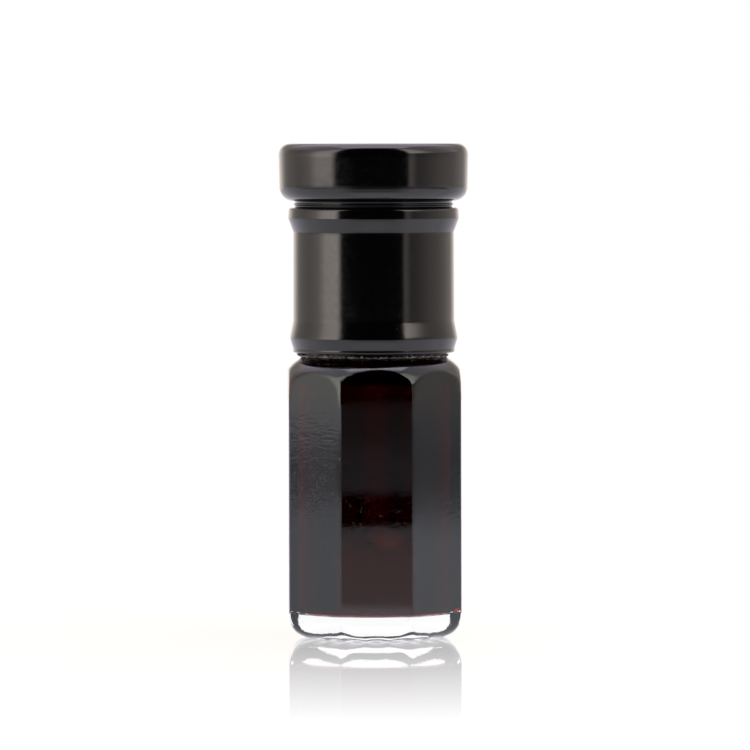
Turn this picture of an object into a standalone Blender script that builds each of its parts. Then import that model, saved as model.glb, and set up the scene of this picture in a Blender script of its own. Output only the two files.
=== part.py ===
"""Small eight-sided glass bottle for perfume oil, with a black screw cap and a glass dip rod.

Units are metres and +Z is up. The bottle stands on z = 0 with its axis on the Z axis, and one of its
eight flats faces -Y. Every piece is turned round the Z axis, so each object's origin lies on the axis
that the cap lifts along and turns about. Heights are stacked upwards from the standing face: the
glass, the film, the stopper on the rim, the threaded insert over it, the sleeve and the head.
"""

import math

import bmesh
import bpy

# Room between pieces, and what one overrun serves
FIT_GAP = 0.00025
THREAD_GAP = 0.00025
OVERRUN = 0.001
MERGE_DISTANCE = 0.000001

# Smoothness of round shapes: counts and an angle, not lengths
OUTER_STEPS = 48
INNER_STEPS = 32
HEEL_STEPS = 5
THREAD_POINTS_PER_TURN = 18
ARC_STEP = math.radians(22.5)

# Glass body, eight-sided, with a turned shoulder above and a heel that curves in to a round foot
FLATS = 0.0180
EDGE_ROUND = 0.0007
HEEL_HEIGHT = 0.0027
HEEL_INSET = 0.0023
FOOT_RING_RADIUS = 0.0058
FOOT_HOLLOW = 0.0004
SHOULDER_HEIGHT = 0.0291
SHOULDER_RADIUS = 0.00972
SHOULDER_ROUND = 0.0036
COLLAR_LEDGE = 0.00223
COLLAR_HEIGHT = 0.00012
COLLAR_EDGE_ROUND = 0.0001

# Glass neck with its thread
NECK_RADIUS = 0.00575
NECK_HEIGHT = 0.01136
NECK_ROOT_ROUND = 0.0003
RIM_ROUND = 0.0004
BORE_RADIUS = 0.0036
THREAD_DEPTH = 0.0007
THREAD_RIDGE_RADIUS = 0.00045
THREAD_PITCH = 0.002117
THREAD_START_DEPTH = 0.0012
NECK_THREAD_TURNS = 1.9
INSERT_THREAD_TURNS = 1.5
THREAD_FADE_TURNS = 0.12
THREAD_END_SHARE = 0.3

# Cavity of the bottle
WALL = 0.00165
BASE_THICKNESS = 0.0026
CAVITY_FLOOR_ROUND = 0.0010
CAVITY_SHOULDER_DROP = 0.00235
CAVITY_SHOULDER_ROUND = 0.0019
CAVITY_ROOT_RADIUS = 0.0052
CAVITY_ROOT_DROP = 0.00125
CAVITY_ROOT_ROUND = 0.0008
CAVITY_THROAT_DROP = 0.00025
CAVITY_THROAT_RADIUS = 0.0050
CAVITY_THROAT_ROUND = 0.0007
BORE_START_RISE = 0.00145
BORE_START_ROUND = 0.0012

# Oil and dip rod
FILL_ABOVE_COLLAR = 0.0005
ROD_RADIUS = 0.00165
ROD_TIP_ABOVE_FLOOR = 0.0067
ROD_TOP_ROUND = 0.0003

# Torn film left lying between the collar and the cap
FILM_THICKNESS = 0.00015
FILM_CREST_GAP = 0.00015
FILM_OVERHANG = 0.00007
FILM_RAGGEDNESS = 0.00012
FILM_POINTS = 72

# Stopper: a flange on the rim, a skirt in the bore and a button above the insert's disc
FLANGE_RADIUS = 0.0053
FLANGE_THICKNESS = 0.0009
FLANGE_ROUND = 0.0002
SKIRT_DEPTH = 0.0040
SKIRT_TIP_TAPER = 0.0004
SKIRT_TIP_LENGTH = 0.0010
BUTTON_STEM_RADIUS = 0.00245
BUTTON_RADIUS = 0.0031
BUTTON_THICKNESS = 0.0008
BUTTON_ROUND = 0.0003

# Threaded insert inside the cap
INSERT_WALL = 0.00055
INSERT_RECESS = 0.0005
DISC_THICKNESS = 0.0009
INSERT_EDGE_ROUND = 0.0002

# Cap sleeve, downwards from its top; what is proud is measured from the barrel
SLEEVE_WALL = 0.00091
SLEEVE_ROOF = 0.0007
BUTTON_ROOM = 0.0014
BEAD_TOP_PROUD = 0.00047
BEAD_PROUD = 0.00053
BEAD_HEIGHT = 0.0011
BEAD_EDGE_ROUND = 0.0003
BEAD_TAPER_HEIGHT = 0.0014
BARREL_SWELL = 0.00003
SEAM_HEIGHT = 0.0033
FLARE_HEIGHT = 0.00175
FLARE_PROUD = 0.00037
FLARE_ROUND = 0.0005
RIM_LIP_HEIGHT = 0.0004
RIM_LIP_PROUD = 0.00006
RIM_LIP_UNDERCUT = 0.00003
LIP_EDGE_ROUND = 0.0002

# Cap head, a moulded shell with a spigot through the sleeve's roof
HEAD_RADIUS = 0.00995
HEAD_TAPER = 0.0001
HEAD_HEIGHT = 0.00645
HEAD_TOP_ROUND = 0.00115
HEAD_FOOT_ROUND = 0.0015
HEAD_FOOT_HEIGHT = 0.00047
HEAD_RING_RADIUS = 0.00844
HEAD_RING_GROOVE = 0.0002
HEAD_RING_HEIGHT = 0.00026
HEAD_WALL = 0.0014
SPIGOT_RADIUS = 0.0051
SPIGOT_WALL = 0.0014
POCKET_WALL = 0.0008

# Heights worked out from the sizes above
COLLAR_TOP = SHOULDER_HEIGHT + COLLAR_HEIGHT
RIM = COLLAR_TOP + NECK_HEIGHT
FILM_BOTTOM = COLLAR_TOP + FIT_GAP
FILM_TOP = FILM_BOTTOM + FILM_THICKNESS
SLEEVE_BOTTOM = FILM_TOP + FIT_GAP
FLANGE_BOTTOM = RIM + FIT_GAP
FLANGE_TOP = FLANGE_BOTTOM + FLANGE_THICKNESS
DISC_BOTTOM = FLANGE_TOP + FIT_GAP
DISC_TOP = DISC_BOTTOM + DISC_THICKNESS
BUTTON_BOTTOM = DISC_TOP + FIT_GAP
BUTTON_TOP = BUTTON_BOTTOM + BUTTON_THICKNESS
ROOF_BOTTOM = DISC_TOP + BUTTON_ROOM
SLEEVE_TOP = ROOF_BOTTOM + SLEEVE_ROOF
HEAD_BOTTOM = SLEEVE_TOP + FIT_GAP
HEAD_TOP = HEAD_BOTTOM + HEAD_HEIGHT
OIL_LEVEL = COLLAR_TOP + FILL_ABOVE_COLLAR
ROD_TIP = BASE_THICKNESS + ROD_TIP_ABOVE_FLOOR
ROD_TOP = DISC_TOP

# Radii worked out from the sizes above
CAVITY_RADIUS = FLATS / 2 - WALL
COLLAR_RADIUS = NECK_RADIUS + COLLAR_LEDGE
THREAD_CREST_RADIUS = NECK_RADIUS + THREAD_DEPTH
FILM_INNER_RADIUS = THREAD_CREST_RADIUS + FILM_CREST_GAP
FILM_OUTER_RADIUS = COLLAR_RADIUS + FILM_OVERHANG
INSERT_BORE = THREAD_CREST_RADIUS + THREAD_GAP
INSERT_RADIUS = INSERT_BORE + INSERT_WALL
SLEEVE_BORE = INSERT_RADIUS + FIT_GAP
BARREL_RADIUS = SLEEVE_BORE + SLEEVE_WALL
BEAD_TOP_RADIUS = BARREL_RADIUS + BEAD_TOP_PROUD
BEAD_RADIUS = BARREL_RADIUS + BEAD_PROUD
FLARE_RADIUS = BARREL_RADIUS + FLARE_PROUD
RIM_LIP_RADIUS = BARREL_RADIUS + RIM_LIP_PROUD
ROOF_HOLE = SPIGOT_RADIUS + FIT_GAP
DISC_HOLE = BUTTON_STEM_RADIUS + FIT_GAP
SKIRT_RADIUS = BORE_RADIUS - FIT_GAP
SOCKET_RADIUS = ROD_RADIUS + FIT_GAP


# Scene, collections and materials

def clear_scene():
    """Remove every object that the file opens with."""
    for item in list(bpy.data.objects):
        bpy.data.objects.remove(item, do_unlink=True)


def new_collection(name):
    """Make a collection in the scene."""
    made = bpy.data.collections.new(name)
    bpy.context.scene.collection.children.link(made)
    return made


def new_material(name, colour, roughness, transmission=0.0, ior=1.5):
    """Make a Principled material of one colour."""
    made = bpy.data.materials.new(name)
    made.use_nodes = True
    shader = made.node_tree.nodes["Principled BSDF"]
    shader.inputs["Base Color"].default_value = (*colour, 1.0)
    shader.inputs["Roughness"].default_value = roughness
    shader.inputs["Metallic"].default_value = 0.0
    shader.inputs["Transmission Weight"].default_value = transmission
    shader.inputs["IOR"].default_value = ior
    made.diffuse_color = (*colour, 1.0)
    return made


# Outlines: lists of (radius, height) points

def arc(centre, radius, start, end):
    """Points on a circle about centre, from the angle start to the angle end."""
    count = max(2, math.ceil(abs(end - start) / ARC_STEP))
    angles = [start + (end - start) * step / count for step in range(count + 1)]
    return [(centre[0] + radius * math.cos(a), centre[1] + radius * math.sin(a)) for a in angles]


def rounded_corner(before, corner, after, radius):
    """Replace a corner by the arc of that radius that touches both of its sides."""
    to_before = math.atan2(before[1] - corner[1], before[0] - corner[0])
    to_after = math.atan2(after[1] - corner[1], after[0] - corner[0])
    opening = (to_after - to_before + math.pi) % math.tau - math.pi
    half = abs(opening) / 2
    shortest = min(math.dist(before, corner), math.dist(after, corner))
    radius = min(radius, shortest * math.tan(half) / 2)
    middle = to_before + opening / 2
    centre = (corner[0] + radius / math.sin(half) * math.cos(middle),
              corner[1] + radius / math.sin(half) * math.sin(middle))
    side = math.copysign(math.pi / 2, opening)
    start = to_before - side
    sweep = math.copysign(math.pi - abs(opening), opening)
    return arc(centre, radius, start, start - sweep)


def outline(*corners):
    """Join corners given as (radius, height) or (radius, height, rounding) into one outline."""
    points = []
    for place, corner in enumerate(corners):
        if len(corner) == 2:
            points.append(corner)
        else:
            before = corners[place - 1][:2]
            after = corners[(place + 1) % len(corners)][:2]
            points.extend(rounded_corner(before, corner[:2], after, corner[2]))
    return points


def inset(points, distance):
    """Shift an outline sideways, to the left of its direction, and keep its ends on the axis."""
    shifted = []
    for place, point in enumerate(points):
        before = points[max(place - 1, 0)]
        after = points[min(place + 1, len(points) - 1)]
        along = (after[0] - before[0], after[1] - before[1])
        length = math.hypot(*along)
        radius = point[0] - distance * along[1] / length
        height = point[1] + distance * along[0] / length
        shifted.append((0.0 if point[0] == 0 else radius, height))
    return shifted


def below(points, level):
    """Keep the part of a rising outline that lies under a level, and end it on that level."""
    kept = []
    for start, end in zip(points, points[1:]):
        kept.append(start)
        if start[1] < level <= end[1]:
            share = (level - start[1]) / (end[1] - start[1])
            kept.append((start[0] + (end[0] - start[0]) * share, level))
            break
    return kept


# Shapes

def turned(name, points, steps, closed=False):
    """Turn an outline round the Z axis; its outer side runs downwards."""
    mesh = bpy.data.meshes.new(name)
    edges = [(place, place + 1) for place in range(len(points) - 1)]
    if closed:
        edges.append((len(points) - 1, 0))
    mesh.from_pydata([(radius, 0.0, height) for radius, height in points], edges, [])
    made = bpy.data.objects.new(name, mesh)
    screw = made.modifiers.new("turn", "SCREW")
    screw.axis = "Z"
    screw.steps = steps
    screw.render_steps = steps
    screw.use_merge_vertices = True
    screw.merge_threshold = MERGE_DISTANCE
    screw.use_smooth_shade = True
    return made


def helix_ridge(name, centre_radius, buried_radius, top, turns):
    """A round ridge on a right-handed helix that ends at the height top and runs down from there.

    Over its last part at each end the ridge thins and moves to buried_radius, so that it fades
    into the wall that it stands on.
    """
    count = round(turns * THREAD_POINTS_PER_TURN)
    curve = bpy.data.curves.new(name, "CURVE")
    curve.dimensions = "3D"
    curve.bevel_depth = THREAD_RIDGE_RADIUS
    curve.bevel_resolution = 2
    curve.use_fill_caps = True
    spline = curve.splines.new("POLY")
    spline.points.add(count)
    for place, point in enumerate(spline.points):
        turn = turns * place / count
        fade = min(1.0, turn / THREAD_FADE_TURNS, (turns - turn) / THREAD_FADE_TURNS)
        radius = buried_radius + (centre_radius - buried_radius) * fade
        angle = -math.tau * turn
        height = top - THREAD_PITCH * turn
        point.co = (radius * math.cos(angle), radius * math.sin(angle), height, 1.0)
        point.radius = THREAD_END_SHARE + (1.0 - THREAD_END_SHARE) * fade
    return as_mesh(bpy.data.objects.new(name, curve))


def as_mesh(source):
    """Turn a curve object into a mesh object whose loose caps are welded."""
    bpy.context.scene.collection.objects.link(source)
    bpy.context.view_layer.update()
    evaluated = source.evaluated_get(bpy.context.evaluated_depsgraph_get())
    mesh = bpy.data.meshes.new_from_object(evaluated)
    shape = bmesh.new()
    shape.from_mesh(mesh)
    bmesh.ops.remove_doubles(shape, verts=shape.verts, dist=MERGE_DISTANCE)
    bmesh.ops.recalc_face_normals(shape, faces=shape.faces)
    shape.to_mesh(mesh)
    shape.free()
    made = bpy.data.objects.new(source.name + "_mesh", mesh)
    made.matrix_world = source.matrix_world
    bpy.data.objects.remove(source, do_unlink=True)
    return made


def rounded_octagon(apothem, corner_round):
    """Points of an octagon with one flat towards -Y, each corner an arc of that radius."""
    to_centre = (apothem - corner_round) / math.cos(math.pi / 8)
    points = []
    for corner in range(8):
        middle = (corner + 0.5) * math.pi / 4
        centre = (to_centre * math.cos(middle), to_centre * math.sin(middle))
        points.extend(arc(centre, corner_round, middle - math.pi / 8, middle + math.pi / 8))
    return points


def eight_sided_body(name, height):
    """An upright loft on z = 0: a round foot, a heel swelling to eight flats, and then a prism.

    Going up the heel, the apothem follows a quarter of an ellipse, and the corners' rounding
    shrinks from the whole foot's radius to that of the body's edges.
    """
    foot_radius = FLATS / 2 - HEEL_INSET
    sections = []
    for step in range(HEEL_STEPS + 1):
        turn = math.pi / 2 * (1 - step / HEEL_STEPS)
        apothem = foot_radius + HEEL_INSET * math.cos(turn)
        corner_round = EDGE_ROUND + (foot_radius - EDGE_ROUND) * (1 - math.cos(turn))
        sections.append((HEEL_HEIGHT * (1 - math.sin(turn)), rounded_octagon(apothem, corner_round)))
    sections.append((height, sections[-1][1]))
    shape = bmesh.new()
    rings = [[shape.verts.new((x, y, level)) for x, y in points] for level, points in sections]
    for lower, upper in zip(rings, rings[1:]):
        for place in range(len(lower)):
            after = (place + 1) % len(lower)
            shape.faces.new((lower[place], lower[after], upper[after], upper[place]))
    shape.faces.new(rings[0][::-1])
    shape.faces.new(rings[-1])
    bmesh.ops.remove_doubles(shape, verts=shape.verts, dist=MERGE_DISTANCE)
    mesh = bpy.data.meshes.new(name)
    shape.to_mesh(mesh)
    shape.free()
    return bpy.data.objects.new(name, mesh)


def combine(target, other, operation):
    """Cut, join or intersect an object with another, which becomes a hidden tool."""
    tool_collection.objects.link(other)
    other.hide_render = True
    other.display_type = "WIRE"
    boolean = target.modifiers.new(operation.lower(), "BOOLEAN")
    boolean.operation = operation
    boolean.solver = "EXACT"
    boolean.object = other


def add_piece(piece, material, carrier):
    """Put a finished piece in the bottle's collection, with its material, under its carrier."""
    piece.data.materials.append(material)
    part_collection.objects.link(piece)
    piece.parent = carrier


# Pieces

def cavity_outline():
    """The inside of the glass, from the middle of its floor up to the rim."""
    shoulder = SHOULDER_HEIGHT - CAVITY_SHOULDER_DROP
    root = SHOULDER_HEIGHT - CAVITY_ROOT_DROP
    throat = SHOULDER_HEIGHT - CAVITY_THROAT_DROP
    return outline(
        (0.0, BASE_THICKNESS),
        (CAVITY_RADIUS, BASE_THICKNESS, CAVITY_FLOOR_ROUND),
        (CAVITY_RADIUS, shoulder, CAVITY_SHOULDER_ROUND),
        (CAVITY_ROOT_RADIUS, root, CAVITY_ROOT_ROUND),
        (CAVITY_THROAT_RADIUS, throat, CAVITY_THROAT_ROUND),
        (BORE_RADIUS, SHOULDER_HEIGHT + BORE_START_RISE, BORE_START_ROUND),
        (BORE_RADIUS, RIM),
    )


def glass_outline():
    """The whole wall of the glass before its flats are cut: inside upwards, then outside down.

    The shoulder's arc meets the collar at the shoulder's height, which sets its centre.
    """
    centre_radius = SHOULDER_RADIUS - SHOULDER_ROUND
    meets_collar = math.acos((COLLAR_RADIUS - centre_radius) / SHOULDER_ROUND)
    centre = (centre_radius, SHOULDER_HEIGHT - SHOULDER_ROUND * math.sin(meets_collar))
    inside = cavity_outline()[:-1]
    neck = outline(
        (BORE_RADIUS, COLLAR_TOP),
        (BORE_RADIUS, RIM, RIM_ROUND),
        (NECK_RADIUS, RIM, RIM_ROUND),
        (NECK_RADIUS, COLLAR_TOP, NECK_ROOT_ROUND),
        (COLLAR_RADIUS, COLLAR_TOP, COLLAR_EDGE_ROUND),
        (COLLAR_RADIUS, SHOULDER_HEIGHT),
    )[1:-1]
    shoulder = arc(centre, SHOULDER_ROUND, meets_collar, 0.0)
    foot = [
        (SHOULDER_RADIUS, -OVERRUN),
        (FOOT_RING_RADIUS, -OVERRUN),
        (FOOT_RING_RADIUS, 0.0),
        (FOOT_RING_RADIUS - FOOT_HOLLOW, FOOT_HOLLOW),
        (0.0, FOOT_HOLLOW),
    ]
    return inside + neck + shoulder + foot


def make_glass_bottle():
    """Turned wall, cut to eight flats, with the neck's thread joined on."""
    bottle = turned("glass_bottle", glass_outline(), OUTER_STEPS)
    combine(bottle, eight_sided_body("body_flats", RIM + OVERRUN), "INTERSECT")
    ridge = helix_ridge("neck_thread", THREAD_CREST_RADIUS - THREAD_RIDGE_RADIUS,
                        NECK_RADIUS - THREAD_RIDGE_RADIUS, RIM - THREAD_START_DEPTH,
                        NECK_THREAD_TURNS)
    combine(bottle, ridge, "UNION")
    return bottle


def make_perfume_oil():
    """The filling: the cavity up to the oil's level, less a blind bore round the rod."""
    bore = SOCKET_RADIUS
    tip_centre = (0.0, ROD_TIP + ROD_RADIUS)
    round_tip = arc(tip_centre, bore, -math.pi / 2, 0.0)
    round_tip[0] = (0.0, tip_centre[1] - bore)
    wetted = below(inset(cavity_outline(), FIT_GAP), OIL_LEVEL)
    return turned("perfume_oil", round_tip + [(bore, OIL_LEVEL)] + wetted[::-1], INNER_STEPS)


def make_seal_film():
    """A thin flat ring with a torn outer edge, left lying on the collar."""
    curve = bpy.data.curves.new("seal_film_outline", "CURVE")
    curve.dimensions = "2D"
    curve.fill_mode = "BOTH"
    curve.extrude = FILM_THICKNESS / 2
    for edge_radius, tear in ((FILM_OUTER_RADIUS, FILM_RAGGEDNESS), (FILM_INNER_RADIUS, 0.0)):
        spline = curve.splines.new("POLY")
        spline.points.add(FILM_POINTS - 1)
        spline.use_cyclic_u = True
        for place, point in enumerate(spline.points):
            angle = math.tau * place / FILM_POINTS
            torn = (math.sin(7 * angle) + math.sin(17 * angle + 1) + math.sin(29 * angle + 2)) / 3
            radius = edge_radius + tear * torn
            point.co = (radius * math.cos(angle), radius * math.sin(angle), 0.0, 1.0)
    source = bpy.data.objects.new("seal_film_outline", curve)
    source.location.z = FILM_BOTTOM + FILM_THICKNESS / 2
    film = as_mesh(source)
    film.name = "seal_film"
    return film


def make_stopper():
    """Flange on the rim, tapered skirt in the bore, and the button that the cap lifts it by."""
    skirt_bottom = FLANGE_BOTTOM - SKIRT_DEPTH
    points = outline(
        (0.0, BUTTON_TOP),
        (BUTTON_RADIUS, BUTTON_TOP, BUTTON_ROUND),
        (BUTTON_RADIUS, BUTTON_BOTTOM),
        (BUTTON_STEM_RADIUS, BUTTON_BOTTOM),
        (BUTTON_STEM_RADIUS, FLANGE_TOP),
        (FLANGE_RADIUS, FLANGE_TOP, FLANGE_ROUND),
        (FLANGE_RADIUS, FLANGE_BOTTOM, FLANGE_ROUND),
        (SKIRT_RADIUS, FLANGE_BOTTOM),
        (SKIRT_RADIUS, skirt_bottom + SKIRT_TIP_LENGTH),
        (SKIRT_RADIUS - SKIRT_TIP_TAPER, skirt_bottom),
        (SOCKET_RADIUS, skirt_bottom),
        (SOCKET_RADIUS, ROD_TOP + FIT_GAP),
        (0.0, ROD_TOP + FIT_GAP),
    )
    return turned("stopper", points, INNER_STEPS)


def make_dip_rod():
    """A round glass rod with a ball-shaped lower end."""
    top = outline((0.0, ROD_TOP), (ROD_RADIUS, ROD_TOP, ROD_TOP_ROUND), (ROD_RADIUS, ROD_TIP))[:-1]
    tip = arc((0.0, ROD_TIP + ROD_RADIUS), ROD_RADIUS, 0.0, -math.pi / 2)
    tip[-1] = (0.0, ROD_TIP)
    return turned("dip_rod", top + tip, INNER_STEPS)


def make_thread_insert():
    """The liner that carries the cap's thread, with a disc over the stopper's flange."""
    bottom = SLEEVE_BOTTOM + INSERT_RECESS
    points = outline(
        (DISC_HOLE, DISC_TOP),
        (INSERT_RADIUS, DISC_TOP, INSERT_EDGE_ROUND),
        (INSERT_RADIUS, bottom),
        (INSERT_BORE, bottom),
        (INSERT_BORE, DISC_BOTTOM),
        (DISC_HOLE, DISC_BOTTOM),
    )
    insert = turned("thread_insert", points, INNER_STEPS, closed=True)
    top = RIM - THREAD_START_DEPTH - THREAD_PITCH / 2
    ridge = helix_ridge("insert_thread", NECK_RADIUS + THREAD_GAP + THREAD_RIDGE_RADIUS,
                        INSERT_BORE + INSERT_WALL / 2, top, INSERT_THREAD_TURNS)
    combine(insert, ridge, "UNION")
    return insert


def make_cap_sleeve():
    """The sleeve: bead, taper, barrel, flare, drawn-in rim and lip over one straight bore."""
    bead_bottom = SLEEVE_TOP - BEAD_HEIGHT
    seam = SLEEVE_BOTTOM + SEAM_HEIGHT
    points = outline(
        (ROOF_HOLE, SLEEVE_TOP),
        (BEAD_TOP_RADIUS, SLEEVE_TOP, BEAD_EDGE_ROUND),
        (BEAD_RADIUS, bead_bottom),
        (BARREL_RADIUS, bead_bottom - BEAD_TAPER_HEIGHT),
        (BARREL_RADIUS + BARREL_SWELL, seam),
        (FLARE_RADIUS, seam - FLARE_HEIGHT, FLARE_ROUND),
        (RIM_LIP_RADIUS - RIM_LIP_UNDERCUT, SLEEVE_BOTTOM + RIM_LIP_HEIGHT),
        (RIM_LIP_RADIUS, SLEEVE_BOTTOM + RIM_LIP_HEIGHT),
        (RIM_LIP_RADIUS, SLEEVE_BOTTOM, LIP_EDGE_ROUND),
        (SLEEVE_BORE, SLEEVE_BOTTOM),
        (SLEEVE_BORE, ROOF_BOTTOM),
        (ROOF_HOLE, ROOF_BOTTOM),
    )
    return turned("cap_sleeve", points, OUTER_STEPS, closed=True)


def make_cap_head():
    """The broad head: a shell with a rounded foot over a ring, a hollow and a hollow spigot."""
    foot = HEAD_BOTTOM + HEAD_FOOT_HEIGHT
    side = HEAD_RADIUS - HEAD_TAPER
    spigot_bottom = DISC_TOP + FIT_GAP
    ceiling = BUTTON_TOP + FIT_GAP
    pocket_top = HEAD_TOP - HEAD_WALL
    groove_radius = HEAD_RING_RADIUS - HEAD_RING_GROOVE
    points = outline(
        (0.0, HEAD_TOP),
        (HEAD_RADIUS, HEAD_TOP, HEAD_TOP_ROUND),
        (side, foot, HEAD_FOOT_ROUND),
        (groove_radius, foot),
        (groove_radius, HEAD_BOTTOM + HEAD_RING_HEIGHT),
        (HEAD_RING_RADIUS, HEAD_BOTTOM + HEAD_RING_HEIGHT / 2),
        (groove_radius, HEAD_BOTTOM),
        (groove_radius - POCKET_WALL, HEAD_BOTTOM),
        (groove_radius - POCKET_WALL, pocket_top),
        (SPIGOT_RADIUS, pocket_top),
        (SPIGOT_RADIUS, spigot_bottom),
        (SPIGOT_RADIUS - SPIGOT_WALL, spigot_bottom),
        (SPIGOT_RADIUS - SPIGOT_WALL, ceiling),
        (0.0, ceiling),
    )
    return turned("cap_head", points, OUTER_STEPS)


clear_scene()
part_collection = new_collection("perfume_oil_bottle")
tool_collection = new_collection("cutting_tools")

lift_axis = bpy.data.objects.new("closure_lifts", None)
turn_axis = bpy.data.objects.new("cap_turns", None)
part_collection.objects.link(lift_axis)
part_collection.objects.link(turn_axis)
turn_axis.parent = lift_axis

clear_glass = new_material("clear_glass", (0.93, 0.96, 0.95), 0.02, transmission=1.0, ior=1.52)
rod_glass = new_material("rod_glass", (0.93, 0.96, 0.95), 0.02, transmission=1.0, ior=1.52)
brown_oil = new_material("brown_oil", (0.10, 0.012, 0.006), 0.02, transmission=0.6, ior=1.47)
clear_film = new_material("clear_film", (0.62, 0.58, 0.52), 0.35, transmission=0.4, ior=1.5)
white_plastic = new_material("white_plastic", (0.80, 0.80, 0.78), 0.40)
liner_plastic = new_material("liner_plastic", (0.02, 0.02, 0.02), 0.45)
black_plastic = new_material("black_plastic", (0.004, 0.004, 0.0045), 0.12)
black_head = new_material("black_head_plastic", (0.004, 0.004, 0.0045), 0.12)

add_piece(make_glass_bottle(), clear_glass, None)
add_piece(make_perfume_oil(), brown_oil, None)
add_piece(make_seal_film(), clear_film, None)
add_piece(make_stopper(), white_plastic, lift_axis)
add_piece(make_dip_rod(), rod_glass, lift_axis)
add_piece(make_thread_insert(), liner_plastic, turn_axis)
add_piece(make_cap_sleeve(), black_plastic, turn_axis)
add_piece(make_cap_head(), black_head, turn_axis)
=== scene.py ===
import math

import bpy
import numpy as np
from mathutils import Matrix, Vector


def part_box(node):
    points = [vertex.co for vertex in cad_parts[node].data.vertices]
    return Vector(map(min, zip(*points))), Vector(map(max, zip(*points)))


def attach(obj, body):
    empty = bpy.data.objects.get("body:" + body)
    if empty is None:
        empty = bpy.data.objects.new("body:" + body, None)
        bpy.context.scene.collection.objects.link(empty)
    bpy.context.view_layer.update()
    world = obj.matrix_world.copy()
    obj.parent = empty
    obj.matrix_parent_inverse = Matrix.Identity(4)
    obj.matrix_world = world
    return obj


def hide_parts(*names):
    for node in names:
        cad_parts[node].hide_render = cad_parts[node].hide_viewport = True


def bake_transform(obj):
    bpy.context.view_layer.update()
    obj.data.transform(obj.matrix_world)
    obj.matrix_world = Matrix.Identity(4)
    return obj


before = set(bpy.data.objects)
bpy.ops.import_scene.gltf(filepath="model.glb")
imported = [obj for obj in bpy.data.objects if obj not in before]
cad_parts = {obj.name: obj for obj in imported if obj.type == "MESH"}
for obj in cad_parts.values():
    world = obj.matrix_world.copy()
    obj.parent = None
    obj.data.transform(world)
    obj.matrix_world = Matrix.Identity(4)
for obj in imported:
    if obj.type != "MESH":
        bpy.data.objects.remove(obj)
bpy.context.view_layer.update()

# Sizes are in millimetres and become metres where a mesh, a camera or a material needs them
MM = 0.001
EIGHTH = math.pi / 4
FRONT = -math.pi / 2
LEFT_FRONT = FRONT - EIGHTH

# Glass body
FLATS = 18.0
EDGE_ROUND = 0.7
HEEL_HEIGHT = 2.7
HEEL_INSET = 2.3
FOOT_RING_RADIUS = 5.8
FOOT_HOLLOW = 0.4
FOOT_HOLLOW_ROUND = 0.5
FOOT_RING_ROUND = 0.1
SHOULDER_HEIGHT = 29.1
SHOULDER_RADIUS = 9.72
SHOULDER_ROUND = 3.6
SHOULDER_TAIL = 2.0
SHOULDER_SAG = 0.2
CREASE_SOFTNESS = 0.2
COLLAR_RADIUS = 7.98
COLLAR_HEIGHT = 0.12
LEDGE_RADIUS = 7.62
LEDGE_RISE = 0.23
LEDGE_EDGE_ROUND = 0.08
KNURLS = 20
KNURL_DEPTH = 0.12
KNURL_START = 0.2
KNURL_FADE = 0.3

# Glass neck and its thread
NECK_RADIUS = 5.75
NECK_ROOT_ROUND = 0.3
RIM_ROUND = 0.4
BORE_RADIUS = 3.6
THREAD_DEPTH = 0.7
THREAD_HALF_WIDTH = 0.45
THREAD_PITCH = 2.117
THREAD_START_DEPTH = 1.2
NECK_THREAD_TURNS = 1.9
THREAD_FADE_TURNS = 0.12

# Cavity, oil and dip rod
WALL = 1.35
BASE_THICKNESS = 2.6
CAVITY_FLOOR_ROUND = 0.6
CAVITY_SHOULDER_DROP = 2.35
CAVITY_SHOULDER_ROUND = 1.9
CAVITY_ROOT_RADIUS = 5.2
CAVITY_ROOT_DROP = 1.25
CAVITY_ROOT_ROUND = 0.8
CAVITY_THROAT_DROP = 0.25
CAVITY_THROAT_RADIUS = 5.0
CAVITY_THROAT_ROUND = 0.7
BORE_START_RISE = 1.45
BORE_START_ROUND = 1.2
ROD_RADIUS = 1.65
ROD_TOP_ROUND = 0.3
HAIR_GAP = 0.01

# Torn film
FILM_INNER_RADIUS = 6.9
FILM_BACK_RADIUS = 7.42
FILM_LIP_RADIUS = 7.78
FILM_FOLD_START = 7.8
FILM_FOLD_WIDTH = 0.2
FILM_TEAR = 0.08
FILM_FRAY = 0.07
FILM_PULL_LEFT = 0.25
FILM_LIP_RISE = 0.09
FILM_LIP_SWAY = 0.04
FILM_LIP_FRAY = 0.11
FILM_LIP_RISE_LEFT = 0.08
FILM_WRINKLE = 0.04
FILM_EDGE_WIDTH = 0.06
FILM_EDGE_HALF = 0.03
FILM_BACK_RISE = 0.08
FILM_BULGE = 0.06
FILM_BULGE_HEIGHT = 0.2
FILM_DIP = 0.04
FILM_DIP_HEIGHT = 0.3

# Cap sleeve, downwards from its top
SLEEVE_BORE = 7.5
BARREL_RADIUS = 8.41
ROOF_HOLE = 5.35
ROOF_THICKNESS = 0.7
ROOF_ROUND = 0.2
BEAD_TOP_RADIUS = 8.88
BEAD_RADIUS = 8.94
BEAD_HEIGHT = 1.1
BEAD_EDGE_ROUND = 0.3
BEAD_FOOT_ROUND = 0.3
BEAD_TAPER_HEIGHT = 1.4
BEAD_TAPER_ROUND = 0.12
BARREL_SWELL = 0.03
SEAM_HEIGHT = 3.3
SEAM_ROUND = 0.2
FLARE_HEIGHT = 1.75
FLARE_RADIUS = 8.78
FLARE_ROUND = 0.5
RIM_LIP_HEIGHT = 0.4
RIM_LIP_RADIUS = 8.47
RIM_LIP_UNDERCUT = 0.03
LIP_EDGE_ROUND = 0.2
FINE_ROUND = 0.05

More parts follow.
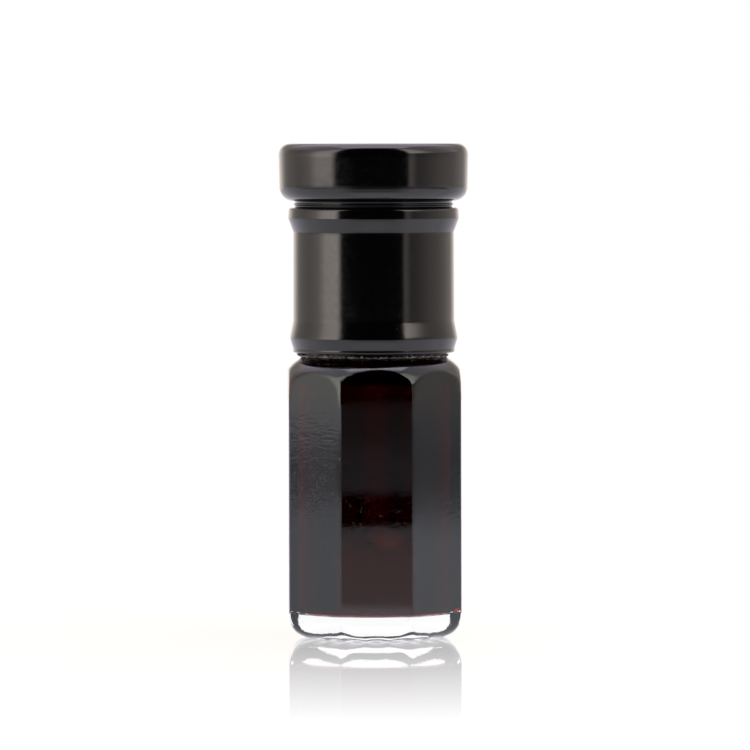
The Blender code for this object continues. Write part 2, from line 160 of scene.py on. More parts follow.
# Cap head
HEAD_RADIUS = 9.95
HEAD_HEIGHT = 6.45
HEAD_TAPER = 0.1
HEAD_TOP_ROUND = 1.15
HEAD_FOOT_ROUND = 1.5
HEAD_FOOT_HEIGHT = 0.47
HEAD_RING_RADIUS = 8.44
HEAD_RING_GROOVE = 0.2
HEAD_RING_HEIGHT = 0.26
HEAD_RING_ROUND = 0.15
HEAD_WALL = 1.4
SPIGOT_RADIUS = 5.1
SPIGOT_WALL = 1.4
POCKET_WALL = 0.8
POCKET_ROUND = 0.3
STOPPER_ROOM = 0.25

# Heights read from the frame
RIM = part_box("glass_bottle")[1].z / MM
SLEEVE_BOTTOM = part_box("cap_sleeve")[0].z / MM
SLEEVE_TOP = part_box("cap_sleeve")[1].z / MM
HEAD_BOTTOM = SLEEVE_TOP + HAIR_GAP
HEAD_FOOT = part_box("cap_head")[1].z / MM - HEAD_HEIGHT + HEAD_FOOT_HEIGHT
HEAD_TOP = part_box("cap_head")[1].z / MM
ROD_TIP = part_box("dip_rod")[0].z / MM
ROD_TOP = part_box("dip_rod")[1].z / MM
OIL_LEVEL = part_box("perfume_oil")[1].z / MM
COLLAR_TOP = SHOULDER_HEIGHT + COLLAR_HEIGHT
LEDGE = COLLAR_TOP + LEDGE_RISE
FOOT_RADIUS = FLATS / 2 - HEEL_INSET
CAVITY_RADIUS = FLATS / 2 - WALL

# Fineness of the meshes
EDGE_COLUMNS = 16
FLAT_COLUMNS = 20
EDGE_HALF_ANGLE = math.radians(2.6)
LATHE_COLUMNS = 256
HEEL_ROWS = 25
BODY_ROWS = 60
SHOULDER_ROWS = 40
BODY_CROWDING = 2.2
SHOULDER_CROWDING = 1.7
FILM_COLUMNS = 1440
FLOOR_COLUMNS = 128
ROW_STEP = 0.3
NECK_ROW_STEP = 0.08
CAVITY_ROW_STEP = 0.25
ARC_STEP = math.radians(7.5)

# Camera, measured from the photograph
CAMERA_DISTANCE = 655.0
CAMERA_HEIGHT = 53.8
CAMERA_SIDE = 0.17
CAMERA_TURN = math.radians(-1.85)
CAMERA_PITCH = math.radians(2.302)
CAMERA_ROLL = math.radians(0.12)
LENS = 300.6
SENSOR = 36.0

# Light bending of the two clear stuffs
GLASS_INDEX = 1.52
OIL_INDEX = 1.39

# Painted glow low on the front wall, standing in for light that cloudy oil scatters
PAINTED_GLOW_STRENGTH = 0.017
GLOW_FULL_HEIGHT = 8.0
GLOW_END_HEIGHT = 13.0
GLOW_FULL_DEPTH = 7.0
GLOW_END_DEPTH = 6.5

# Brighter painted spot of that glow where the rod's tip shows; its core and reach are squares of
# distances
TIP_SPOT_SIDE = 1.25
TIP_SPOT_HEIGHT = 10.8
TIP_SPOT_CORE = 0.6
TIP_SPOT_REACH = 3.2
TIP_SPOT_FLATNESS = 2.2
TIP_SPOT_GAIN = 2.4

# Grain of the finishes: how wide its blobs are, and how deep
RIPPLE_SIZE = 2.5
RIPPLE_DEPTH = 0.002
HAMMER_SIZE = 0.28
HAMMER_DEPTH = 0.0025
PIT_SIZE = 0.40
PIT_DEPTH = 0.0025
FRONT_FLAT_END = 3.6
SIDE_FLAT_START = 4.6
FRONT_HAMMER_SHARE = 0.2
SIDE_HAMMER_SHARE = 2.4
FLOW_SIZE = 1.6
FLOW_DEPTH = 0.006
SKIN_SIZE = 0.12
SKIN_DEPTH = 0.0006
DUST_SIZE = 0.11
DUST_PATCH_SIZE = 4.0
HAZE_SIZE = 0.6
CLOUD_SIZE = 3.0
SATIN_DEPTH = 0.003
CREASE_SIZE = 0.30
CREASE_DEPTH = 0.05

# Stretch in front where the film in the gap is painted all dark, as painted shade
FILM_DARK_LEFT = 3.1
FILM_DARK_RIGHT = 2.8
FILM_DARK_SOFT = 1.2
FILM_DARK_DEPTH = 0.5

# Light round the horizon: angle from the camera's direction, minus on its left, and brightness
RING_LIGHT = (
    (-180, 1.0), (-176, 1.0), (-172, 1.4), (-152, 1.45), (-147, 1.3), (-141, 0.97), (-136, 0.78),
    (-131, 0.73), (-119, 0.79), (-108, 0.9), (-100, 1.12), (-91, 1.5), (-86, 1.75), (-78, 3.0),
    (-73, 3.9), (-64, 4.25), (-53.3, 4.6), (-49.5, 2.2), (-46.5, 0.0), (42, 0.0), (45, 1.0),
    (48.5, 0.9), (54.5, 0.37), (64, 0.44), (78, 0.62), (89, 0.74), (130, 0.84), (141, 0.75),
    (148, 1.0), (154, 1.3), (172, 1.4), (180, 1.0))

# Light overhead: angle from the zenith, plus on the side away from the camera, and brightness
TOP_LIGHT = (
    (-21, 0.0), (-17, 0.5), (-13, 1.5), (-9, 2.9), (-5, 3.9), (5, 3.7), (14, 2.5), (30, 2.0),
    (54, 1.7), (90, 1.0))

# Light of the floor in what shines on the bottle: distance from its middle, and brightness
FLOOR_IN_FRONT = (
    (0, 1.45), (52, 1.45), (66, 0.66), (142, 0.6), (192, 0.55), (202, 0.0), (262, 0.0), (285, 0.22),
    (350, 0.22), (450, 0.12), (565, 0.1))
FLOOR_ON_LEFT = (
    (0, 1.25), (230, 1.25), (250, 1.1), (270, 0.6), (360, 0.6), (450, 1.05), (565, 1.9))
FLOOR_ON_RIGHT = (
    (0, 1.35), (190, 1.35), (210, 0.9), (240, 0.65), (300, 0.45), (450, 0.5), (565, 0.7))

# Light's fading upwards: share of the way to the zenith, and brightness
FADING = ((0.0, 1.0), (0.67, 0.6), (0.85, 0.4), (1.0, 0.4))

# High soft box on the right and the glow beyond it: between which degrees each edge fades
RIGHT_BOX_START = (42.0, 47.0)
RIGHT_BOX_END = (52.0, 90.0)
RIGHT_BOX_FOOT = (13.0, 18.0)
RIGHT_BOX_LEVEL = 4.0
RIGHT_GLOW_START = (70.0, 90.0)
RIGHT_GLOW_END = (125.0, 140.0)
RIGHT_GLOW_LEVEL = 0.6

# Light under the horizon: its upper edge in degrees, and the share taken off it on either side
SUNK_EDGE = (-3.4, -2.1)
SUNK_SIDES = (-0.1, 0.1)
SUNK_ON_LEFT = 0.55
SUNK_ON_RIGHT = -0.5

# Grey backdrop high behind the bottle, with its edges in degrees
BACKDROP_SIDE = (125.0, 160.0)
BACKDROP_FOOT = (4.0, 18.0)
BACKDROP_TOP = (25.0, 45.0)
BACKDROP_LEVEL = 0.45

# Lamp overhead: its foot and front in degrees, its sides as shares, and the levels beside it
LAMP_FOOT = (20.0, 45.0)
LAMP_FRONT = (-25.0, -17.0)
LAMP_LEFT_SHARES = (-0.42, -0.33)
LAMP_RIGHT_SHARES = (0.36, 0.40)
BESIDE_LAMP_SHARES = (-0.1, 0.1)
BESIDE_LAMP_LEFT = 1.45
BESIDE_LAMP_RIGHT = 1.15

# Where behind the bottle starts, in degrees, for its light and for what shows through the glass
BEHIND_START = (104.0, 112.0)
SHOWS_THROUGH_START = (96.0, 108.0)

# Tints of the boxes, of the lamp and of the floor's light
BOX_TINT = (1.07, 0.96, 0.89, 1.0)
LAMP_TINT = (1.06, 0.93, 1.08, 1.0)
FLOOR_TINT = (1.0, 0.97, 1.06, 1.0)

# Floor, with the sides of its light as shares
FLOOR_RADIUS = 565.0
FLOOR_DROP = 0.02
FLOOR_THICKNESS = 2.0
MIRROR_SHARE = 0.67
MIRROR_REACH = 103.0
FLOOR_LEFT_SHARES = (-0.8, -0.35)
FLOOR_RIGHT_SHARES = (0.35, 0.8)
FLOOR_BACK_SHARES = (0.05, 0.3)
FLOOR_LEVEL_BEHIND = 1.1
FLOOR_WHITE_LEVEL = 1.065
FLOOR_SHADOW_SHARE = 0.08


# Shader tools

class Wire:
    """An output socket on which Python's operators add Math nodes."""

    def __init__(self, nodes, socket):
        self.nodes = nodes
        self.socket = socket

    def math(self, operation, *values):
        return self.nodes.add("ShaderNodeMath", {"operation": operation}, dict(enumerate(values)))

    def __add__(self, other):
        return self.math("ADD", self, other)

    def __radd__(self, other):
        return self.math("ADD", other, self)

    def __sub__(self, other):
        return self.math("SUBTRACT", self, other)

    def __rsub__(self, other):
        return self.math("SUBTRACT", other, self)

    def __mul__(self, other):
        return self.math("MULTIPLY", self, other)

    def __rmul__(self, other):
        return self.math("MULTIPLY", other, self)

    def __truediv__(self, other):
        return self.math("DIVIDE", self, other)

    def __neg__(self):
        return self.math("MULTIPLY", self, -1.0)

    def step(self, start, end, low=0.0, high=1.0):
        """A smooth step from low at start to high at end."""
        return self.nodes.add("ShaderNodeMapRange", {"interpolation_type": "SMOOTHSTEP"}, {
            "Value": self, "From Min": start, "From Max": end, "To Min": low, "To Max": high})

    def window(self, start, end, soft):
        """One between start and end, and zero outside, with soft sides."""
        return self.step(start - soft, start + soft) * self.step(end - soft, end + soft, 1.0, 0.0)


class Nodes:
    """The node tree of a material or the world."""

    def __init__(self, owner):
        owner.use_nodes = True
        self.tree = owner.node_tree
        self.tree.nodes.clear()

    def add(self, kind, settings=None, inputs=None, output=0):
        """Add a node: settings first, then the values or links of its sockets; give one output."""
        node = self.tree.nodes.new(kind)
        for name, value in (settings or {}).items():
            if name == "stops":
                ramp = node.color_ramp.elements
                while len(ramp) < len(value):
                    ramp.new(0.5)
                for element, (place, colour) in zip(ramp, value):
                    element.position = place
                    element.color = colour if isinstance(colour, tuple) else (colour,) * 3 + (1.0,)
            else:
                setattr(node, name, value)
        for name, value in (inputs or {}).items():
            if isinstance(value, Wire):
                self.tree.links.new(value.socket, node.inputs[name])
            else:
                node.inputs[name].default_value = value
        return Wire(self, node.outputs[output])

    def split(self, vector):
        """The three parts of a vector."""
        first = self.add("ShaderNodeSeparateXYZ", None, {0: vector})
        return [Wire(self, socket) for socket in first.socket.node.outputs]

    def ramp(self, share, levels):
        """A number that follows (share, level) stops; the stops are kept below one by a scale."""
        most = max(level for place, level in levels)
        ramp = self.add("ShaderNodeValToRGB", {
            "stops": [(place, level / most) for place, level in levels]}, {"Fac": share})
        return self.add("ShaderNodeSeparateColor", None, {0: ramp}) * most

    def tint(self, value, colour):
        """A colour times a number."""
        return self.add("ShaderNodeMix", {"data_type": "RGBA", "blend_type": "MULTIPLY"}, {
            0: 1.0, 6: value, 7: colour}, 2)

    def finish(self, kind, **ends):
        """Link the last shaders to a material's or the world's output node."""
        node = self.tree.nodes.new(kind)
        for name, value in ends.items():
            self.tree.links.new(value.socket, node.inputs[name])


def new_material(name):
    """A material with an empty node tree."""
    made = bpy.data.materials.new(name)
    return made, Nodes(made)


def grain(nodes, size, detail=2.0, roughness=0.5):
    """Noise in the object's own space whose blobs are about size millimetres across."""
    place = nodes.add("ShaderNodeTexCoord", output="Object")
    return nodes.add("ShaderNodeTexNoise", {"noise_dimensions": "3D"}, {
        "Vector": place, "Scale": 1.0 / (size * MM), "Detail": detail, "Roughness": roughness})


def bump(nodes, height, depth, before=None):
    """Bump of the given depth in millimetres for a height between zero and one."""
    inputs = {"Height": height, "Strength": 1.0, "Distance": depth * MM}
    if before:
        inputs["Normal"] = before
    return nodes.add("ShaderNodeBump", None, inputs)


# Materials

def clear_glass():
    """Clear pressed glass: hammered finely all over, with slower ripples under that."""
    made, nodes = new_material("clear_pressed_glass")
    ripples = bump(nodes, grain(nodes, RIPPLE_SIZE, 1.0), RIPPLE_DEPTH)
    x, y, z = nodes.split(nodes.add("ShaderNodeTexCoord", output="Object"))
    hammering = (x.math("ABSOLUTE", x) / MM).step(
        FRONT_FLAT_END, SIDE_FLAT_START, FRONT_HAMMER_SHARE, SIDE_HAMMER_SHARE)
    hammered = bump(nodes, grain(nodes, HAMMER_SIZE, 1.0) * hammering, HAMMER_DEPTH, ripples)
    hammered = bump(nodes, grain(nodes, PIT_SIZE, 1.0).step(0.64, 0.74), PIT_DEPTH, hammered)
    glass = nodes.add("ShaderNodeBsdfPrincipled", None, {
        "Base Color": (0.985, 0.995, 0.99, 1.0), "Roughness": 0.0, "IOR": GLASS_INDEX,
        "Specular Tint": (0.88, 1.0, 1.0, 1.0),
        "Transmission Weight": 1.0, "Normal": hammered})
    lets_lamps_through = nodes.add("ShaderNodeLightPath", output="Is Shadow Ray")
    clear = nodes.add("ShaderNodeBsdfTransparent", None, {"Color": (0.96, 0.98, 0.97, 1.0)})
    nodes.finish("ShaderNodeOutputMaterial", Surface=nodes.add("ShaderNodeMixShader", None, {
        0: lets_lamps_through, 1: glass, 2: clear}))
    return made


def wetted_glass(name, index, colour=(1.0, 1.0, 1.0, 1.0), cloudy=0.0):
    """The glass where oil wets it, which bends light by the given index.

    That is the ratio of their indices on the floor, and one, which bends nothing, on the wall and
    in the throat. A painted glow, an emission low on the front wall, stands in for light that
    cloudy oil scatters, with a brighter painted spot where the rod's tip shows at rest; cloudy
    gives its strength. It is part of the wall, so the spot does not follow the rod.
    """
    made, nodes = new_material(name)
    x, y, z = nodes.split(nodes.add("ShaderNodeTexCoord", output="Object"))
    x, z = x / MM, z / MM
    # Painted glow: red emission low on the front wall, brighter in a painted spot where the rod's tip
    # shows at rest
    in_front = y.step(-GLOW_FULL_DEPTH * MM, -GLOW_END_DEPTH * MM, 1.0, 0.0)
    low_front = z.step(GLOW_FULL_HEIGHT, GLOW_END_HEIGHT, 1.0, 0.0) * in_front
    beside, above = x - TIP_SPOT_SIDE, z - TIP_SPOT_HEIGHT
    spot = beside * beside + above * above * TIP_SPOT_FLATNESS
    spot = spot.step(TIP_SPOT_CORE, TIP_SPOT_REACH, 1.0, 0.0)
    glow = low_front * (1 + TIP_SPOT_GAIN * spot) * cloudy
    face = nodes.add("ShaderNodeBsdfPrincipled", None, {
        "Base Color": colour, "Roughness": 0.0, "IOR": index,
        "Transmission Weight": 1.0, "Emission Strength": 1.0,
        "Emission Color": nodes.tint(glow, (1.0, 0.15, 0.05, 1.0))})
    clear = nodes.add("ShaderNodeBsdfTransparent", None, {"Color": (1.0, 1.0, 1.0, 1.0)})
    lets_lamps_through = nodes.add("ShaderNodeLightPath", output="Is Shadow Ray")
    nodes.finish("ShaderNodeOutputMaterial", Surface=nodes.add("ShaderNodeMixShader", None, {
        0: lets_lamps_through, 1: face, 2: clear}))
    return made


def dark_oil():
    """Clear red-brown oil: it bends no light against the glass and takes up all but deep red."""
    made, nodes = new_material("dark_perfume_oil")
    body = nodes.add("ShaderNodeBsdfPrincipled", None, {
        "Base Color": (1.0, 1.0, 1.0, 1.0), "Roughness": 0.0, "IOR": 1.0,
        "Transmission Weight": 1.0})
    depth = nodes.add("ShaderNodeVolumeAbsorption", None, {
        "Color": (0.73, 0.0, 0.0, 1.0), "Density": 1500.0})
    nodes.finish("ShaderNodeOutputMaterial", Surface=body, Volume=depth)
    return made


def rod_glass():
    """Glass rod: nearly unseen in the oil, with a weak gloss along its sides."""
    made, nodes = new_material("rod_glass")
    rim = nodes.add("ShaderNodeFresnel", None, {"IOR": 1.06})
    clear = nodes.add("ShaderNodeBsdfTransparent", None, {"Color": (0.97, 0.98, 0.975, 1.0)})
    gloss = nodes.add("ShaderNodeBsdfAnisotropic", None, {"Roughness": 0.05})
    nodes.finish("ShaderNodeOutputMaterial", Surface=nodes.add("ShaderNodeMixShader", None, {
        0: rim, 1: clear, 2: gloss}))
    return made


def black_gloss(name, orange_peel):
    """Polished black moulding with faint orange peel and a light sprinkle of dust."""
    made, nodes = new_material(name)
    flow = bump(nodes, grain(nodes, FLOW_SIZE, 1.0), orange_peel)
    skin_grain = bump(nodes, grain(nodes, SKIN_SIZE, 2.0), SKIN_DEPTH, flow)
    specks = grain(nodes, DUST_SIZE, 1.0).step(0.76, 0.80)
    patches = grain(nodes, DUST_PATCH_SIZE, 1.0).step(0.35, 0.65)
    dust = specks * patches
    haze = grain(nodes, HAZE_SIZE, 3.0).step(0.3, 0.8)
    colour = nodes.add("ShaderNodeMix", {"data_type": "RGBA"}, {
        0: dust, 6: (0.0008, 0.0008, 0.0009, 1.0), 7: (0.10, 0.10, 0.11, 1.0)}, 2)
    nodes.finish("ShaderNodeOutputMaterial", Surface=nodes.add("ShaderNodeBsdfPrincipled", None, {
        "Base Color": colour, "Roughness": 0.11 + 0.05 * haze + 0.4 * dust, "IOR": 1.5,
        "Normal": skin_grain}))
    return made


def satin_plastic(name, colour, roughness, grain_size):
    """Moulded plastic of one colour with a fine satin grain."""
    made, nodes = new_material(name)
    fine = grain(nodes, grain_size, 3.0)
    cloudy = grain(nodes, CLOUD_SIZE, 2.0)
    pale = tuple(min(1.0, share * 1.12) for share in colour) + (1.0,)
    mixed = nodes.add("ShaderNodeMix", {"data_type": "RGBA"}, {
        0: cloudy, 6: (*colour, 1.0), 7: pale}, 2)
    nodes.finish("ShaderNodeOutputMaterial", Surface=nodes.add("ShaderNodeBsdfPrincipled", None, {
        "Base Color": mixed, "Roughness": roughness - 0.08 + 0.16 * fine, "IOR": 1.5,
        "Normal": bump(nodes, fine, SATIN_DEPTH)}))
    return made


def torn_film():
    """Thin film, crumpled: dark in the gap as painted shade, and pale along its torn fold as a painted
    highlight.
    """
    made, nodes = new_material("torn_clear_film")
    x, y, z = nodes.split(nodes.add("ShaderNodeTexCoord", output="Object"))
    away = (x * x + y * y).math("SQRT", x * x + y * y) / MM
    creases = grain(nodes, CREASE_SIZE, 3.0, 0.65)
    # Pale along the torn fold, where the edge catches light: a painted highlight
    fold = (away + 0.5 * creases).step(FILM_FOLD_START, FILM_FOLD_START + FILM_FOLD_WIDTH)
    # In the front stretch the film is painted all dark as shade; beside it a paler share is a painted
    # reflection of the side lights
    before = (x / MM).window(-FILM_DARK_LEFT, FILM_DARK_RIGHT, FILM_DARK_SOFT)
    beside = 1 - before * y.step(-FILM_DARK_DEPTH * MM, 0.0, 1.0, 0.0)
    # Patches along the creases break up the painted highlight and the painted reflection beside the
    # front
    crinkled_patches = creases.step(0.40, 0.65, 0.15, 1.0)
    colour = nodes.add("ShaderNodeMix", {"data_type": "RGBA"}, {
        0: crinkled_patches * (fold + 0.35 * beside * (1 - fold)),
        6: (0.004, 0.003, 0.003, 1.0), 7: (0.62, 0.58, 0.52, 1.0)}, 2)
    nodes.finish("ShaderNodeOutputMaterial", Surface=nodes.add("ShaderNodeBsdfPrincipled", None, {
        "Base Color": colour, "Roughness": 0.35 + 0.3 * fold, "IOR": 1.25,
        "Normal": bump(nodes, creases, CREASE_DEPTH)}))
    return made


# Meshes

def arc(centre, radius, start, end):
    """Points on a circle about centre, from the angle start to the angle end."""
    count = max(3, math.ceil(abs(end - start) / ARC_STEP))
    angles = np.linspace(start, end, count + 1)
    return np.column_stack((centre[0] + radius * np.cos(angles), centre[1] + radius * np.sin(angles)))


def rounded_corner(before, corner, after, radius):
    """The arc that touches both sides of a corner.

    It has the given radius, or a smaller one where it would take more than half of a side.
    """
    to_before = math.atan2(before[1] - corner[1], before[0] - corner[0])
    to_after = math.atan2(after[1] - corner[1], after[0] - corner[0])
    opening = (to_after - to_before + math.pi) % math.tau - math.pi
    half = abs(opening) / 2
    shortest = min(math.dist(before, corner), math.dist(after, corner))
    radius = min(radius, shortest * math.tan(half) / 2)
    middle = to_before + opening / 2
    centre = (corner[0] + radius / math.sin(half) * math.cos(middle),
              corner[1] + radius / math.sin(half) * math.sin(middle))
    side = math.copysign(math.pi / 2, opening)
    start = to_before - side
    return arc(centre, radius, start, start - math.copysign(math.pi - abs(opening), opening))


def outline(*corners):
    """Join corners given as (radius, height) or (radius, height, rounding) into one outline."""
    points = []
    for place, corner in enumerate(corners):
        if len(corner) == 2:
            points.append(np.array([corner]))
        else:
            before = corners[place - 1][:2]
            after = corners[(place + 1) % len(corners)][:2]
            points.append(rounded_corner(before, corner[:2], after, corner[2]))
    return np.concatenate(points)


def with_rows(points, step=ROW_STEP, closed=False):
    """The same outline with points added along its straight runs, none further apart than step."""
    ends = np.concatenate((points[1:], points[:1])) if closed else points[1:]
    rows = []
    for start, end in zip(points, ends):
        count = max(1, math.ceil(math.dist(start, end) / step))
        rows.append(start + (end - start) * np.linspace(0, 1, count, endpoint=False)[:, None])
    if not closed:
        rows.append(points[-1:])
    return np.concatenate(rows)


def round_grid(radius, height, angles):
    """Points at a distance from the axis and a height, one column for each angle."""
    radius, height, angle = np.broadcast_arrays(radius, height, angles)
    return np.stack((radius * np.cos(angle), radius * np.sin(angle), height), axis=-1)


def skin(name, grid, materials, closed_outline=False, which=0, smooth=True):
    """Mesh over a grid of points whose columns close into rings.

    Each point joins its neighbours with two triangles. A row whose points all lie on the axis is
    one point, a closed outline joins its last row to its first, and which gives the number of
    each face's material.
    """
    rows, columns = grid.shape[:2]
    number = np.arange(rows * columns).reshape(rows, columns)
    on_axis = np.hypot(grid[..., 0], grid[..., 1]).max(axis=1) < HAIR_GAP / 100
    number[on_axis] = number[on_axis][:, :1]
    upper = np.concatenate((number, number[:1])) if closed_outline else number
    here, there = upper[:-1], upper[1:]
    here_next, there_next = np.roll(here, -1, axis=1), np.roll(there, -1, axis=1)
    corners = np.concatenate((np.stack((here, here_next, there_next), -1).reshape(-1, 3),
                              np.stack((here, there_next, there), -1).reshape(-1, 3)))
    mark = np.tile(np.broadcast_to(which, upper.shape)[:len(here)].ravel(), 2)
    real = ((corners[:, 0] != corners[:, 1]) & (corners[:, 1] != corners[:, 2])
            & (corners[:, 2] != corners[:, 0]))
    corners, mark = corners[real], mark[real]
    used, corners = np.unique(corners, return_inverse=True)
    corners = corners.reshape(-1, 3)
    points = grid.reshape(-1, 3)[used] * MM
    a, b, c = points[corners[:, 0]], points[corners[:, 1]], points[corners[:, 2]]
    if np.einsum("ij,ij->i", a, np.cross(b, c)).sum() < 0:
        corners = corners[:, ::-1]
    mesh = bpy.data.meshes.new(name)
    mesh.from_pydata(points.tolist(), [], corners.tolist())
    mesh.polygons.foreach_set("material_index", mark.astype(np.int32))
    if smooth:
        mesh.shade_smooth()
    for material in materials:
        mesh.materials.append(material)
    made = bpy.data.objects.new(name, mesh)
    bpy.context.scene.collection.objects.link(made)
    return made


def lathe(name, points, material, closed_outline=False):
    """An outline turned round the axis."""
    rows = with_rows(points, closed=closed_outline)
    angles = np.linspace(0, math.tau, LATHE_COLUMNS, endpoint=False)
    grid = round_grid(rows[:, :1], rows[:, 1:], angles[None, :])
    return skin(name, grid, [material], closed_outline)


def octagon_radius(angle, apothem, rounding):
    """Distance from the axis to an octagon with rounded edges, one flat towards the front.

    On a flat it is the apothem over the cosine of the angle from the flat's middle. Near an edge
    it is the far side of the edge's circle.
    """
    from_flat = np.abs((angle + EIGHTH / 2) % EIGHTH - EIGHTH / 2)
    from_edge = EIGHTH / 2 - from_flat
    centre = (apothem - rounding) / math.cos(EIGHTH / 2)
    across = centre * np.sin(from_edge)
    edge = centre * np.cos(from_edge) + np.sqrt(np.maximum(rounding ** 2 - across ** 2, 0))
    half_flat = (apothem - rounding) * math.tan(EIGHTH / 2)
    return np.where(apothem * np.tan(from_flat) <= half_flat, apothem / np.cos(from_flat), edge)


def soft_least(first, second, softness):
    """The lesser of two lengths, rounded over by a parabola where they differ by under softness."""
    near = np.maximum(softness - np.abs(first - second), 0) / softness
    return np.minimum(first, second) - softness * near ** 2 / 4


def glass_columns():
    """Angles round the bottle, closer together across its eight edges."""
    edge = np.linspace(-EDGE_HALF_ANGLE, EDGE_HALF_ANGLE, EDGE_COLUMNS, endpoint=False)
    flat = np.linspace(EDGE_HALF_ANGLE, EIGHTH - EDGE_HALF_ANGLE, FLAT_COLUMNS, endpoint=False)
    edges = EIGHTH / 2 + EIGHTH * np.arange(8)
    return (edges[:, None] + np.concatenate((edge, flat))[None, :]).ravel()


def cavity_outline():
    """The inside of the glass, from the rim down to the middle of its floor."""
    return outline(
        (0.0, BASE_THICKNESS),
        (CAVITY_RADIUS, BASE_THICKNESS, CAVITY_FLOOR_ROUND),
        (CAVITY_RADIUS, SHOULDER_HEIGHT - CAVITY_SHOULDER_DROP, CAVITY_SHOULDER_ROUND),
        (CAVITY_ROOT_RADIUS, SHOULDER_HEIGHT - CAVITY_ROOT_DROP, CAVITY_ROOT_ROUND),
        (CAVITY_THROAT_RADIUS, SHOULDER_HEIGHT - CAVITY_THROAT_DROP, CAVITY_THROAT_ROUND),
        (BORE_RADIUS, SHOULDER_HEIGHT + BORE_START_RISE, BORE_START_ROUND),
        (BORE_RADIUS, RIM),
    )[::-1]


def heel_rows(angles):
    """The heel from the round foot to the flats.

    Going up, the apothem follows a quarter of an ellipse, and the edges' rounding shrinks from
    the whole foot's radius to that of the body's edges.
    """
    turn = np.linspace(math.pi / 2, 0, HEEL_ROWS)[:, None]
    apothem = FOOT_RADIUS + HEEL_INSET * np.cos(turn)
    rounding = EDGE_ROUND + (FOOT_RADIUS - EDGE_ROUND) * (1 - np.cos(turn))
    height = HEEL_HEIGHT * (1 - np.sin(turn))
    return octagon_radius(angles, apothem, rounding), height + 0 * angles


def body_rows(angles):
    """The flats up to the crease, and the turned shoulder from the crease to the collar.

    The crease is where the shoulder's arc reaches the octagon, so its height follows the
    octagon's radius. Rows crowd towards it from both sides, and the lesser of the two radii is
    rounded over there. Below its centre the arc runs on outwards along a parabola. On the flat
    at the left of the front one the pressed shoulder sags a little.
    """
    centre_radius = SHOULDER_RADIUS - SHOULDER_ROUND
    meets_collar = math.acos((COLLAR_RADIUS - centre_radius) / SHOULDER_ROUND)
    on_left_front = np.maximum(np.cos(angles - LEFT_FRONT), 0) ** 4
    centre_height = SHOULDER_HEIGHT - SHOULDER_ROUND * math.sin(meets_collar)
    centre_height = centre_height - SHOULDER_SAG * on_left_front
    octagon = octagon_radius(angles, FLATS / 2, EDGE_ROUND)
    crease = np.arccos((octagon - centre_radius) / SHOULDER_ROUND)
    crease_height = centre_height + SHOULDER_ROUND * np.sin(crease)
    share = (1 - (1 - np.linspace(0, 1, BODY_ROWS)) ** BODY_CROWDING)[1:, None]
    low_height = HEEL_HEIGHT + (crease_height - HEEL_HEIGHT) * share
    share = (np.linspace(0, 1, SHOULDER_ROWS) ** SHOULDER_CROWDING)[1:, None]
    turn = crease + (meets_collar - crease) * share
    height = np.concatenate((low_height, centre_height + SHOULDER_ROUND * np.sin(turn)))
    rise = np.clip((height - centre_height) / SHOULDER_ROUND, 0, 1)
    tail = np.maximum(centre_height - height, 0) ** 2 / (2 * SHOULDER_TAIL)
    shoulder = centre_radius + SHOULDER_ROUND * np.sqrt(1 - rise ** 2) + tail
    return soft_least(octagon, shoulder, CREASE_SOFTNESS), height


def thread_depth(angles, height):
    """How far the neck's right-handed thread stands proud.

    Across its ridge the depth is half an ellipse, and at each end it fades out.
    """
    top = RIM - THREAD_START_DEPTH
    depth = np.zeros(np.broadcast(angles, height).shape)
    for whole in range(math.ceil(NECK_THREAD_TURNS)):
        turn = (-angles / math.tau) % 1 + whole
        off = (height - top + THREAD_PITCH * turn) / THREAD_HALF_WIDTH
        left = np.minimum(turn, NECK_THREAD_TURNS - turn) / THREAD_FADE_TURNS
        ridge = np.sqrt(np.clip(1 - off ** 2, 0, 1)) * np.clip(left, 0, 1)
        depth = np.maximum(depth, THREAD_DEPTH * ridge)
    return depth


